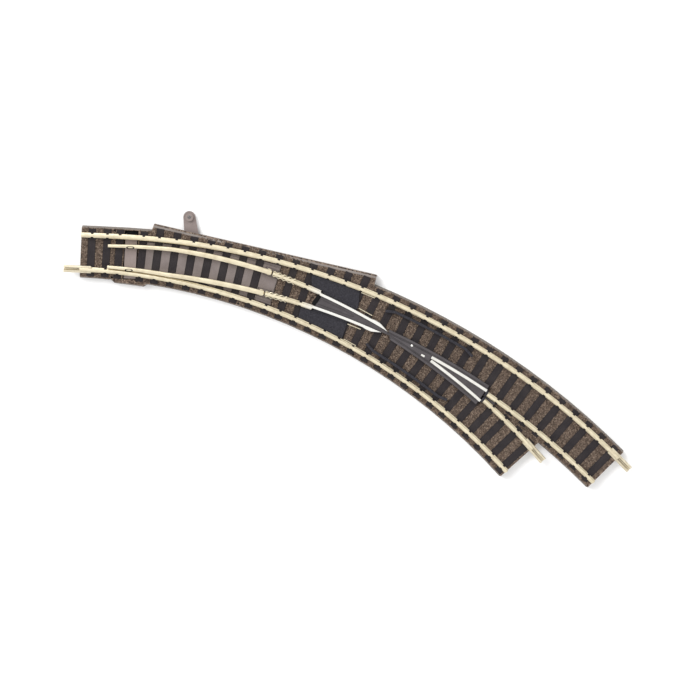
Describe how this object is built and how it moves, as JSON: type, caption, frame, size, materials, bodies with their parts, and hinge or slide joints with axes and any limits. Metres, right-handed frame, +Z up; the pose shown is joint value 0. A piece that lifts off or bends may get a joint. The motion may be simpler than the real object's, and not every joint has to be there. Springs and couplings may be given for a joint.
{
  "type": "model railway turnout",
  "caption": "Curved right-hand turnout for nine millimetre gauge track on a moulded ballast bed, with swinging blades, tie bar and throw lever.",
  "frame": {"origin": "middle of the overall box, on the face that rests on the table", "axes": "+X from the toe along the straight start of the track, +Z up, so that both legs bend right towards -Y"},
  "size_m": [0.1766, 0.0792, 0.0057],
  "materials": {
    "ballast": "granular moulded ballast, matt",
    "sleeper": "matt moulded plastic with a faint wood grain",
    "slide_plate": "smooth satin plastic",
    "rail": "drawn nickel silver, bright on top",
    "crossing_rail": "bright white metal",
    "joiner": "folded plated sheet",
    "spring_steel": "bright spring wire",
    "dark_plastic": "satin dark plastic",
    "crossing_plastic": "smooth satin grey plastic",
    "lever_plastic": "satin grey-brown plastic",
    "cover_plastic": "smooth dark plastic"
  },
  "bodies": {
    "roadbed": {"ballast_bed": "ballast", "blade_slide_plate": "slide_plate", "toe_sleepers": "sleeper", "switch_sleepers": "sleeper", "outer_leg_sleepers": "sleeper", "inner_leg_sleepers": "sleeper", "outer_stock_rail": "rail", "inner_stock_rail": "rail", "outer_closure_rail": "rail", "inner_closure_rail": "rail", "outer_exit_rail": "rail", "inner_exit_rail": "rail", "outer_nose_rail": "crossing_rail", "inner_nose_rail": "crossing_rail", "outer_heel_shoe": "slide_plate", "inner_heel_shoe": "slide_plate", "outer_heel_pin": "joiner", "inner_heel_pin": "joiner", "toe_joiner": "joiner", "inner_leg_joiner": "joiner", "outer_leg_joiner": "joiner", "left_feed_strip": "joiner", "right_feed_strip": "joiner", "outer_insulator": "dark_plastic", "inner_insulator": "dark_plastic", "outer_check_rail": "dark_plastic", "inner_check_rail": "dark_plastic", "outer_infill_panel": "dark_plastic", "inner_infill_panel": "dark_plastic", "crossing_frog": "crossing_plastic", "mechanism_cover": "cover_plastic", "lever_pivot_pin": "joiner", "detent_spring": "spring_steel", "cover_screw_1": "joiner", "cover_screw_2": "joiner", "cover_screw_3": "joiner", "cover_screw_4": "joiner"},
    "tie_slide": {"tie_bar": "lever_plastic", "drive_slide": "cover_plastic"},
    "outer_blade": {"outer_blade": "rail"},
    "inner_blade": {"inner_blade": "rail"},
    "throw_lever": {"throw_lever": "lever_plastic"}
  },
  "joints": [
    {"name": "tie_bar_throw", "type": "slide", "parent": "roadbed", "child": "tie_slide", "axis": [0, 1, 0], "range_m": [0, 0.0014]},
    {"name": "outer_blade_swing", "type": "hinge", "parent": "roadbed", "child": "outer_blade", "pos_m": [-0.02556, 0.02223, 0.0046], "axis": [0, 0, 1], "range_deg": [-2.2, 0]},
    {"name": "inner_blade_swing", "type": "hinge", "parent": "roadbed", "child": "inner_blade", "pos_m": [-0.02764, 0.01582, 0.0046], "axis": [0, 0, 1], "range_deg": [-2.3, 0]},
    {"name": "lever_swing", "type": "hinge", "parent": "roadbed", "child": "throw_lever", "pos_m": [-0.04943, 0.03051, 0.0011], "axis": [0, 0, 1], "range_deg": [-40.6, 0]}
  ],
  "couplings": [
    {"joint": "outer_blade_swing", "follows": "tie_bar_throw", "rad_per_m": -23.556},
    {"joint": "inner_blade_swing", "follows": "tie_bar_throw", "rad_per_m": -24.769},
    {"joint": "lever_swing", "follows": "tie_bar_throw", "rad_per_m": -503.65}
  ]
}
